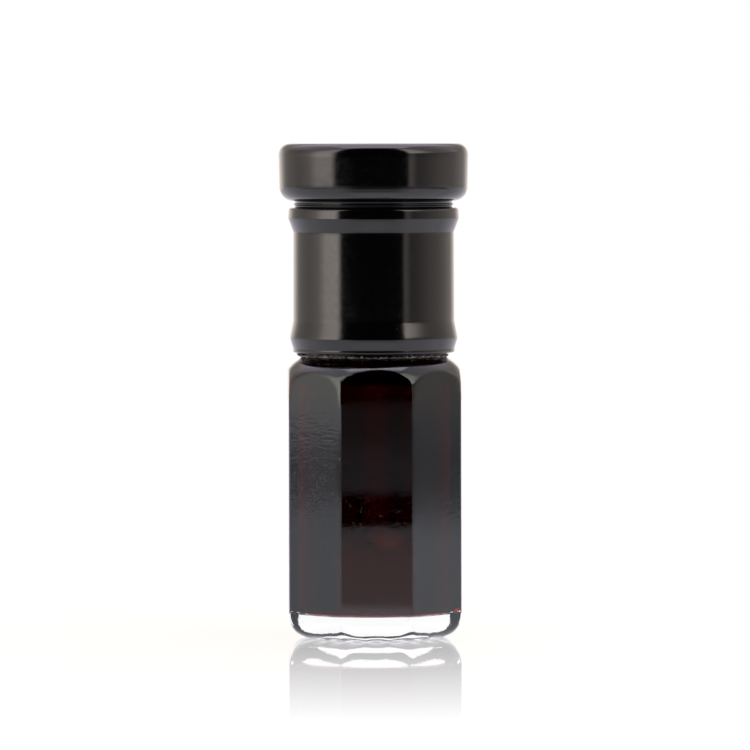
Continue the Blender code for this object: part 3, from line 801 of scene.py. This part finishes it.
def make_glass(materials):
    """The glass as one skin: foot, heel, flats, shoulder, collar, threaded neck, rim and cavity."""
    angles = glass_columns()[None, :]
    foot = with_rows(outline((0.0, FOOT_HOLLOW), (FOOT_RING_RADIUS - FOOT_HOLLOW, FOOT_HOLLOW,
                                                  FOOT_HOLLOW_ROUND),
                             (FOOT_RING_RADIUS, 0.0, FOOT_RING_ROUND), (FOOT_RADIUS, 0.0)))[:-1]
    neck = with_rows(outline(
        (COLLAR_RADIUS, SHOULDER_HEIGHT),
        (LEDGE_RADIUS, LEDGE, LEDGE_EDGE_ROUND),
        (NECK_RADIUS, LEDGE, NECK_ROOT_ROUND),
        (NECK_RADIUS, RIM, RIM_ROUND),
        (BORE_RADIUS, RIM, RIM_ROUND),
        (BORE_RADIUS, LEDGE),
    )[1:-1], NECK_ROW_STEP)
    cavity = with_rows(cavity_outline()[1:], CAVITY_ROW_STEP)
    heel_radius, heel_height = heel_rows(angles)
    body_radius, body_height = body_rows(angles)
    plain = 0 * angles
    radius = np.concatenate((foot[:, :1] + plain, heel_radius, body_radius, neck[:, :1] + plain,
                             cavity[:, :1] + plain))
    height = np.concatenate((foot[:, 1:] + plain, heel_height, body_height, neck[:, 1:] + plain,
                             cavity[:, 1:] + plain))
    on_neck = np.abs(radius - NECK_RADIUS) < HAIR_GAP
    radius = radius + np.where(on_neck, thread_depth(angles, height), 0)
    gap = 0.5 - 0.5 * np.cos(KNURLS * (angles - FRONT))
    near_ring = np.clip((radius - FOOT_RING_RADIUS) / KNURL_START, 0, 1)
    near_ring = near_ring * np.exp(-(height / KNURL_FADE) ** 2)
    outside = np.arange(len(radius))[:, None] < len(foot) + len(heel_radius)
    height = height + np.where(outside, KNURL_DEPTH * (1 - gap ** 2) * near_ring, 0)
    cavity_start = len(radius) - len(cavity)
    wetted = (np.arange(len(radius))[:, None] >= cavity_start) & (height < OIL_LEVEL)
    on_floor = wetted & (height < BASE_THICKNESS + CAVITY_FLOOR_ROUND / 2)
    in_throat = wetted & (height > SHOULDER_HEIGHT - CAVITY_SHOULDER_DROP)
    which = wetted * 1 + on_floor * 1 + in_throat * 2
    return skin("bottle_glass", round_grid(radius, height, angles), materials, which=which)


def make_oil(material):
    """The filling round the rod, and the column of oil under the rod's tip."""
    wall = cavity_outline()
    wall = wall[wall[:, 1] < OIL_LEVEL]
    bore = ROD_RADIUS + HAIR_GAP
    throat = np.array([[wall[0, 0] - 2 * HAIR_GAP, OIL_LEVEL]])
    inner = wall[wall[:, 0] > bore] - [2 * HAIR_GAP, 0]
    inner[:, 1] = np.maximum(inner[:, 1], BASE_THICKNESS + 2 * HAIR_GAP)
    ring = np.concatenate((throat, inner, [[bore, BASE_THICKNESS + 2 * HAIR_GAP]],
                           [[bore, OIL_LEVEL]]))
    filling = lathe("oil_filling", ring, material, closed_outline=True)
    radius = ROD_RADIUS + HAIR_GAP / 2
    tip = (0.0, ROD_TIP + ROD_RADIUS)
    cup = arc(tip, radius, -math.pi / 2, 0.0)
    cup[0, 0] = 0.0
    column = np.concatenate((cup, [[radius, BASE_THICKNESS + 2 * HAIR_GAP]],
                             [[0.0, BASE_THICKNESS + 2 * HAIR_GAP]]))
    return filling, lathe("oil_under_rod", column, material)


def make_rod(material):
    """The dip rod with its ball-shaped lower end."""
    top = outline((0.0, ROD_TOP), (ROD_RADIUS, ROD_TOP, ROD_TOP_ROUND), (ROD_RADIUS, ROD_TIP))[:-1]
    tip = arc((0.0, ROD_TIP + ROD_RADIUS), ROD_RADIUS, 0.0, -math.pi / 2)
    tip[-1] = (0.0, ROD_TIP)
    return lathe("glass_rod", np.concatenate((top, tip)), material)


def make_sleeve(material):
    """The cap's sleeve: bead, taper, barrel, flare, drawn-in rim and lip over one straight bore."""
    bead_bottom = SLEEVE_TOP - BEAD_HEIGHT
    seam = SLEEVE_BOTTOM + SEAM_HEIGHT
    roof_bottom = SLEEVE_TOP - ROOF_THICKNESS
    return lathe("sleeve_shell", outline(
        (ROOF_HOLE, SLEEVE_TOP),
        (BEAD_TOP_RADIUS, SLEEVE_TOP, BEAD_EDGE_ROUND),
        (BEAD_RADIUS, bead_bottom, BEAD_FOOT_ROUND),
        (BARREL_RADIUS, bead_bottom - BEAD_TAPER_HEIGHT, BEAD_TAPER_ROUND),
        (BARREL_RADIUS + BARREL_SWELL, seam, SEAM_ROUND),
        (FLARE_RADIUS, seam - FLARE_HEIGHT, FLARE_ROUND),
        (RIM_LIP_RADIUS - RIM_LIP_UNDERCUT, SLEEVE_BOTTOM + RIM_LIP_HEIGHT, FINE_ROUND),
        (RIM_LIP_RADIUS, SLEEVE_BOTTOM + RIM_LIP_HEIGHT, FINE_ROUND),
        (RIM_LIP_RADIUS, SLEEVE_BOTTOM, LIP_EDGE_ROUND),
        (SLEEVE_BORE, SLEEVE_BOTTOM, FINE_ROUND),
        (SLEEVE_BORE, roof_bottom, ROOF_ROUND),
        (ROOF_HOLE, roof_bottom),
    ), material, closed_outline=True)


def make_head(material):
    """The cap's broad head: a shell with a rounded foot over a ring, a hollow and a hollow spigot."""
    foot = HEAD_FOOT
    side = HEAD_RADIUS - HEAD_TAPER
    ring = foot - HEAD_FOOT_HEIGHT + HEAD_RING_HEIGHT / 2
    spigot_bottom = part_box("cap_head")[0].z / MM
    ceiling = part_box("stopper")[1].z / MM + STOPPER_ROOM
    pocket_top = HEAD_TOP - HEAD_WALL
    groove = HEAD_RING_RADIUS - HEAD_RING_GROOVE
    return lathe("head_shell", outline(
        (0.0, HEAD_TOP),
        (HEAD_RADIUS, HEAD_TOP, HEAD_TOP_ROUND),
        *arc((side - HEAD_FOOT_ROUND, foot + HEAD_FOOT_ROUND), HEAD_FOOT_ROUND, 0.0, -math.pi / 2),
        (groove, foot),
        (groove, ring + HEAD_RING_HEIGHT / 2, FINE_ROUND),
        (HEAD_RING_RADIUS, ring, HEAD_RING_ROUND),
        (groove, ring - HEAD_RING_HEIGHT / 2, FINE_ROUND),
        (groove, HEAD_BOTTOM),
        (groove - POCKET_WALL, HEAD_BOTTOM),
        (groove - POCKET_WALL, pocket_top, POCKET_ROUND),
        (SPIGOT_RADIUS, pocket_top, POCKET_ROUND),
        (SPIGOT_RADIUS, spigot_bottom),
        (SPIGOT_RADIUS - SPIGOT_WALL, spigot_bottom),
        (SPIGOT_RADIUS - SPIGOT_WALL, ceiling),
        (0.0, ceiling),
    ), material)


def make_film(material):
    """Torn film crumpled into the gap between the glass and the cap.

    Its section is a closed loop: it stands on the ledge under the cap, wrinkled, and folds out
    over the ledge's edge to a thin torn lip. Along the way the lip's reach and height and the
    wrinkles waver by sums of sines, and the lip reaches furthest on the left.
    """
    turn = np.linspace(0, math.tau, FILM_COLUMNS, endpoint=False)[None, :]
    waves = [np.sin(count * turn + count ** 2) for count in (3, 5, 11, 17, 29, 43, 71, 97)]
    tear = (waves[2] + waves[3] + waves[4]) / 3
    fray = (waves[5] + waves[6] + waves[7]) / 3
    on_left = np.exp(-((turn - math.pi) / 0.5) ** 2)
    low = LEDGE + HAIR_GAP
    high = SLEEVE_BOTTOM - HAIR_GAP
    lip = FILM_LIP_RADIUS + FILM_TEAR * tear + FILM_FRAY * fray + FILM_PULL_LEFT * on_left
    lip_height = (low + FILM_LIP_RISE + FILM_LIP_SWAY * waves[1] + FILM_LIP_FRAY * fray
                  + FILM_LIP_RISE_LEFT * on_left)
    wrinkle = FILM_WRINKLE * (waves[3] + waves[6])
    section = (
        (FILM_INNER_RADIUS, high), (FILM_INNER_RADIUS, low), (FILM_BACK_RADIUS, low),
        (lip - FILM_EDGE_WIDTH, lip_height - FILM_EDGE_HALF), (lip, lip_height),
        (lip - FILM_EDGE_WIDTH, lip_height + FILM_EDGE_HALF),
        (FILM_BACK_RADIUS + wrinkle, lip_height + FILM_BACK_RISE),
        (FILM_BACK_RADIUS + FILM_BULGE - wrinkle, low + FILM_BULGE_HEIGHT),
        (FILM_BACK_RADIUS - FILM_DIP + wrinkle, low + FILM_DIP_HEIGHT), (FILM_BACK_RADIUS, high))
    radius = np.concatenate([place + 0 * turn for place, height in section])
    height = np.concatenate([height + 0 * turn for place, height in section])
    return skin("torn_film", round_grid(radius, height, turn), [material], True)


# Studio

def make_world():
    """White where the camera looks past the bottle, and a dark studio in what shines on it.

    Round the horizon the light is a ramp over the direction's angle from the camera: dark behind
    the camera, a bright soft box on the left, a narrow strip and a high box on the right, and
    bright behind the bottle. All of these fade upwards, and over the bright part behind stands a
    grey backdrop. Under the horizon the light is dimmer on the left and brighter on the right. A
    lamp hangs from the zenith backwards. The boxes are warm and the lamp is lavender. All levels
    are fitted to the photograph.
    """
    world = bpy.data.worlds.new("studio")
    bpy.context.scene.world = world
    nodes = Nodes(world)
    direction = nodes.add("ShaderNodeTexCoord", output="Generated")
    x, y, z = nodes.split(direction)
    turn = x.math("ARCTAN2", x, -y) * (180.0 / math.pi) - math.degrees(CAMERA_TURN)
    rise = z.math("ARCSINE", z) * (180.0 / math.pi)
    ring = nodes.ramp(turn / 360.0 + 0.5, [(0.5 + angle / 360, level) for angle, level in RING_LIGHT])
    aside = turn.math("ABSOLUTE", turn)
    right_box = turn.step(*RIGHT_BOX_START) * turn.step(*RIGHT_BOX_END, 1.0, 0.0) * RIGHT_BOX_LEVEL
    right_glow = turn.step(*RIGHT_GLOW_START) * turn.step(*RIGHT_GLOW_END, 1.0, 0.0) * RIGHT_GLOW_LEVEL
    right_box = (right_box + right_glow) * rise.step(*RIGHT_BOX_FOOT)
    fading = nodes.ramp(rise / 90.0, FADING)
    behind = aside.step(*BEHIND_START)
    sunk = rise.step(*SUNK_EDGE, 1.0, 0.0)
    left = 1 - sunk * x.step(*SUNK_SIDES, SUNK_ON_LEFT, SUNK_ON_RIGHT)
    backdrop = aside.step(*BACKDROP_SIDE) * rise.step(*BACKDROP_FOOT)
    backdrop = backdrop * rise.step(*BACKDROP_TOP, 1.0, 0.0)
    low_light = (ring + right_box) * fading * (left + behind * (1 - left))
    low_light = low_light * (1 - backdrop) + backdrop * BACKDROP_LEVEL
    lean = y.math("ARCTAN2", y, z) * (180.0 / math.pi)
    top = nodes.ramp(lean / 180.0 + 0.5, [(0.5 + angle / 180, level) for angle, level in TOP_LIGHT])
    high = rise.step(*LAMP_FOOT) * lean.step(*LAMP_FRONT)
    in_lamp = x.step(*LAMP_LEFT_SHARES) * x.step(*LAMP_RIGHT_SHARES, 1.0, 0.0)
    beside_lamp = x.step(*BESIDE_LAMP_SHARES, BESIDE_LAMP_LEFT, BESIDE_LAMP_RIGHT)
    high_light = top * in_lamp + beside_lamp * (1 - in_lamp)
    boxes = nodes.tint(low_light * (1 - high), BOX_TINT)
    lamp = nodes.tint(high_light * high, LAMP_TINT)
    light = nodes.add("ShaderNodeMix", {"data_type": "RGBA", "blend_type": "ADD"}, {
        0: 1.0, 6: boxes, 7: lamp}, 2)
    seen_through = nodes.add("ShaderNodeLightPath", output="Is Transmission Ray")
    seen = nodes.add("ShaderNodeLightPath", output="Is Camera Ray")
    white = seen.math("MAXIMUM", seen, seen_through * aside.step(*SHOWS_THROUGH_START))
    nodes.finish("ShaderNodeOutputWorld", Surface=nodes.add("ShaderNodeBackground", None, {
        "Color": nodes.add("ShaderNodeMix", {"data_type": "RGBA"}, {
            0: white, 6: light, 7: (1.0, 1.0, 1.0, 1.0)}, 2),
        "Strength": 1.0}))


def make_floor():
    """A white table with a polish that fades away from the bottle.

    What shines on the bottle from below is a ramp over the distance from its middle, one each in
    front, on the left and on the right. Behind the bottle it is one level.
    """
    angles = np.linspace(0, math.tau, FLOOR_COLUMNS, endpoint=False)[None, :]
    radius = np.array([[0.0], [FLOOR_RADIUS], [FLOOR_RADIUS], [0.0]])
    height = np.array([[0.0], [0.0], [-FLOOR_THICKNESS], [-FLOOR_THICKNESS]]) - FLOOR_DROP
    made, nodes = new_material("white_table")
    place = nodes.add("ShaderNodeTexCoord", output="Object")
    x, y, z = nodes.split(place)
    away = nodes.add("ShaderNodeVectorMath", {"operation": "LENGTH"}, {0: place}, "Value")
    on_left = (x / away).step(*FLOOR_LEFT_SHARES, 1.0, 0.0)
    on_right = (x / away).step(*FLOOR_RIGHT_SHARES)
    back = (y / away).step(*FLOOR_BACK_SHARES)
    away = away / MM
    front, left, right = [
        nodes.ramp(away / FLOOR_RADIUS, [(place / FLOOR_RADIUS, level) for place, level in levels])
        for levels in (FLOOR_IN_FRONT, FLOOR_ON_LEFT, FLOOR_ON_RIGHT)]
    below = front * (1 - on_left - on_right) + left * on_left + right * on_right
    below = below * (1 - back) + FLOOR_LEVEL_BEHIND * back
    lit = nodes.add("ShaderNodeEmission", None, {
        "Color": nodes.tint(below, FLOOR_TINT), "Strength": 1.0})
    fresh = 1 - away / MIRROR_REACH
    polish = fresh.math("MAXIMUM", fresh, 0.0) * MIRROR_SHARE
    white = nodes.add("ShaderNodeEmission", None, {
        "Color": (1.0, 1.0, 1.0, 1.0), "Strength": FLOOR_WHITE_LEVEL})
    plain = nodes.add("ShaderNodeBsdfDiffuse", None, {"Color": (0.95, 0.95, 0.95, 1.0)})
    shown = nodes.add("ShaderNodeMixShader", None, {0: FLOOR_SHADOW_SHARE, 1: white, 2: plain})
    mirror = nodes.add("ShaderNodeBsdfAnisotropic", None, {
        "Color": (1.0, 1.0, 1.0, 1.0), "Roughness": 0.02})
    shown = nodes.add("ShaderNodeMixShader", None, {0: polish, 1: shown, 2: mirror})
    camera = nodes.add("ShaderNodeLightPath", output="Is Camera Ray")
    nodes.finish("ShaderNodeOutputMaterial", Surface=nodes.add("ShaderNodeMixShader", None, {
        0: camera, 1: lit, 2: shown}))
    floor = skin("table_top", round_grid(radius, height, angles), [made], smooth=False)


def make_camera():
    """The photograph's long lens, a little above the cap and a little to its left."""
    camera = bpy.data.cameras.new("camera")
    camera.lens = LENS
    camera.sensor_width = SENSOR
    camera.clip_start = 0.01
    camera.clip_end = 10.0
    made = bpy.data.objects.new("camera", camera)
    away = np.array((math.sin(CAMERA_TURN), -math.cos(CAMERA_TURN), 0.0)) * CAMERA_DISTANCE
    side = np.array((math.cos(CAMERA_TURN), math.sin(CAMERA_TURN), 0.0)) * CAMERA_SIDE
    made.location = (away + side + (0, 0, CAMERA_HEIGHT)) * MM
    made.rotation_euler = (math.pi / 2 - CAMERA_PITCH, CAMERA_ROLL, CAMERA_TURN)
    bpy.context.scene.collection.objects.link(made)
    bpy.context.scene.camera = made


make_camera()
make_world()
make_floor()

glass = make_glass([clear_glass(), wetted_glass("wetted_wall", 1.0, cloudy=PAINTED_GLOW_STRENGTH),
                    wetted_glass("wetted_floor", GLASS_INDEX / OIL_INDEX),
                    # The throat's near-black colour is painted shade, standing in for the shade under
                    # the cap on the collar
                    wetted_glass("throat_painted_shade", 1.0, (0.02, 0.006, 0.004, 1.0))])
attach(glass, "bottle")
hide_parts("glass_bottle")

oil, column = make_oil(dark_oil())
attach(oil, "bottle")
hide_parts("perfume_oil")
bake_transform(column)
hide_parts("perfume_oil")

rod = make_rod(rod_glass())
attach(rod, "stopper_and_rod")
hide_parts("dip_rod")

film = make_film(torn_film())
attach(film, "bottle")
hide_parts("seal_film")

sleeve = make_sleeve(black_gloss("sleeve_black_gloss", FLOW_DEPTH))
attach(sleeve, "cap")
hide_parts("cap_sleeve")

head = make_head(black_gloss("head_black_gloss", FLOW_DEPTH))
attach(head, "cap")
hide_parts("cap_head")

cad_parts["stopper"].material_slots[0].material = satin_plastic(
    "stopper_plastic", (0.80, 0.80, 0.78), 0.42, 0.15)
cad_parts["thread_insert"].material_slots[0].material = satin_plastic(
    "liner_plastic", (0.02, 0.02, 0.02), 0.45, 0.12)

scene = bpy.context.scene
scene.view_settings.view_transform = "Standard"
